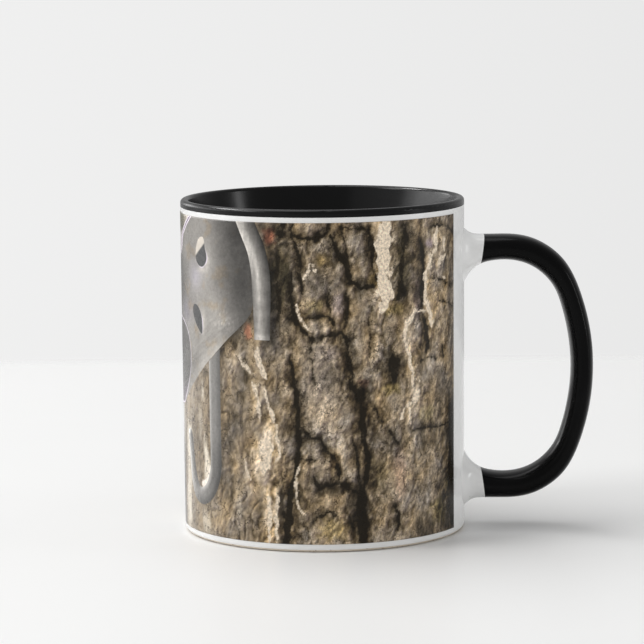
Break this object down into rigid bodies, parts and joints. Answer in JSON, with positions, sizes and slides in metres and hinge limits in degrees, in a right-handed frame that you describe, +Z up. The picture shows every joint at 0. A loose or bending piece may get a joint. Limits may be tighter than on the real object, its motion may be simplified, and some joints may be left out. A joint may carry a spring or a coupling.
{
  "type": "mug",
  "caption": "Straight-walled stoneware mug with a D-shaped handle, black glaze inside and on the handle, and a tree bark picture round the white outside.",
  "frame": {"origin": "on the mug's axis, in the plane that its foot stands on", "axes": "+Z up along the mug's axis, +X from the axis towards the handle, +Y across the handle"},
  "size_m": [0.1191, 0.082, 0.0962],
  "materials": {
    "bare_clay": "matt bisque, wiped clean at the foot",
    "black_glaze": "glossy black",
    "white_glaze": "glossy white",
    "printed_coat": "glossy polymer coat, dyed with a bark picture"
  },
  "bodies": {
    "root": {"black_liner_glaze": "black_glaze", "black_handle_glaze": "black_glaze", "cup_body": "bare_clay", "handle_body": "bare_clay", "upper_slip_joint": "bare_clay", "lower_slip_joint": "bare_clay", "white_outer_glaze": "white_glaze", "white_base_glaze": "white_glaze", "print_coat": "printed_coat"}
  },
  "joints": []
}
